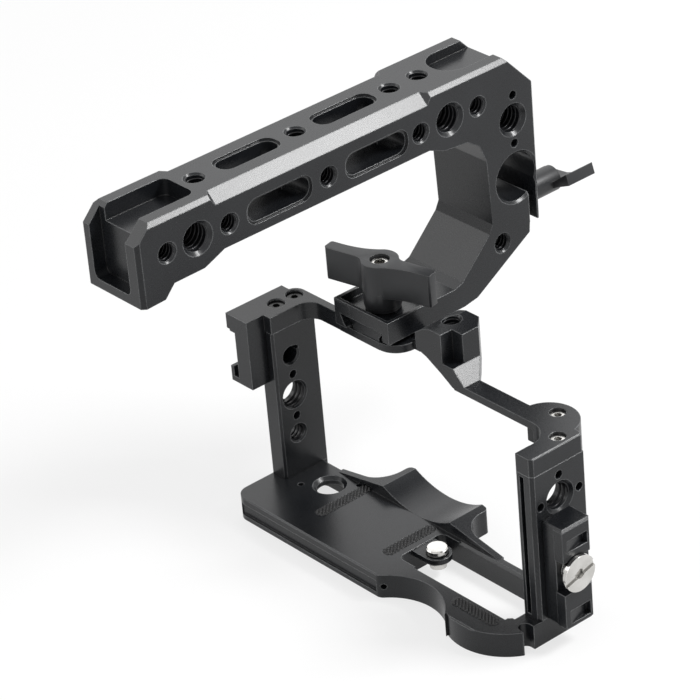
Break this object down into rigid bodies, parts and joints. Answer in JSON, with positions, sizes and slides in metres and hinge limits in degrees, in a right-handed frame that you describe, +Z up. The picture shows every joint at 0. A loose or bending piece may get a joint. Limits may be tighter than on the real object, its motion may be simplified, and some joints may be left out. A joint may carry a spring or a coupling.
{
  "type": "camera cage with sliding top handle",
  "caption": "Half-open camera cage: base plate, two posts and top bar around a camera bay, with a sliding long top handle, wing knob, rod clamp lever, cable clamp and side accessory shoe.",
  "frame": {"origin": "axis of the camera screw at the height of the base plate's top face, the camera seat", "axes": "+X along the base plate from the accessory shoe side to the cable clamp side, +Y to the rear where the handle's arm comes down, +Z up"},
  "size_m": [0.1299, 0.1649, 0.1328],
  "materials": {
    "anodised": "bead-blasted, black anodised",
    "steel": "bright nickel plated",
    "rubber": "knurled, matte"
  },
  "bodies": {
    "cage": {"base_plate": "anodised", "left_post": "anodised", "right_post": "anodised", "top_plate": "anodised", "handle_rail": "anodised", "rail_screws": "steel", "left_top_screws": "steel", "right_top_screws": "steel", "post_base_screws": "steel", "grip_pad_left": "rubber", "grip_pad_middle": "rubber", "grip_pad_front": "rubber"},
    "screw": {"camera_screw": "steel", "screw_clip": "steel"},
    "clamp": {"cable_clamp": "anodised"},
    "thumb": {"thumb_screw": "steel", "thumb_washer": "steel"},
    "handle": {"handle_body": "anodised", "knob_washer": "steel", "lever_washer": "steel", "clamp_jaw": "anodised", "clamp_stud": "steel"},
    "knob": {"wing_knob": "anodised"},
    "lever": {"rod_lever": "anodised", "lever_stud": "steel"}
  },
  "joints": [
    {"name": "camera_screw_turn", "type": "hinge", "parent": "cage", "child": "screw", "pos_m": [0, 0, -0.002], "axis": [0, 0, 1], "continuous": true},
    {"name": "cable_clamp_slide", "type": "slide", "parent": "cage", "child": "clamp", "axis": [0, 0, 1], "range_m": [-0.0015, 0.001]},
    {"name": "thumb_screw_turn", "type": "hinge", "parent": "cage", "child": "thumb", "pos_m": [0.05, 0.0027, 0.0169], "axis": [1, 0, 0], "continuous": true},
    {"name": "handle_slide", "type": "slide", "parent": "cage", "child": "handle", "axis": [0, 1, 0], "range_m": [-0.0018, 0.0022]},
    {"name": "knob_turn", "type": "hinge", "parent": "handle", "child": "knob", "pos_m": [-0.03585, 0.017, 0.07], "axis": [0, 0, 1], "range_deg": [0, 157.5]},
    {"name": "rod_lever_turn", "type": "hinge", "parent": "handle", "child": "lever", "pos_m": [-0.03585, 0.075, 0.0734], "axis": [0, 1, 0], "continuous": true}
  ]
}
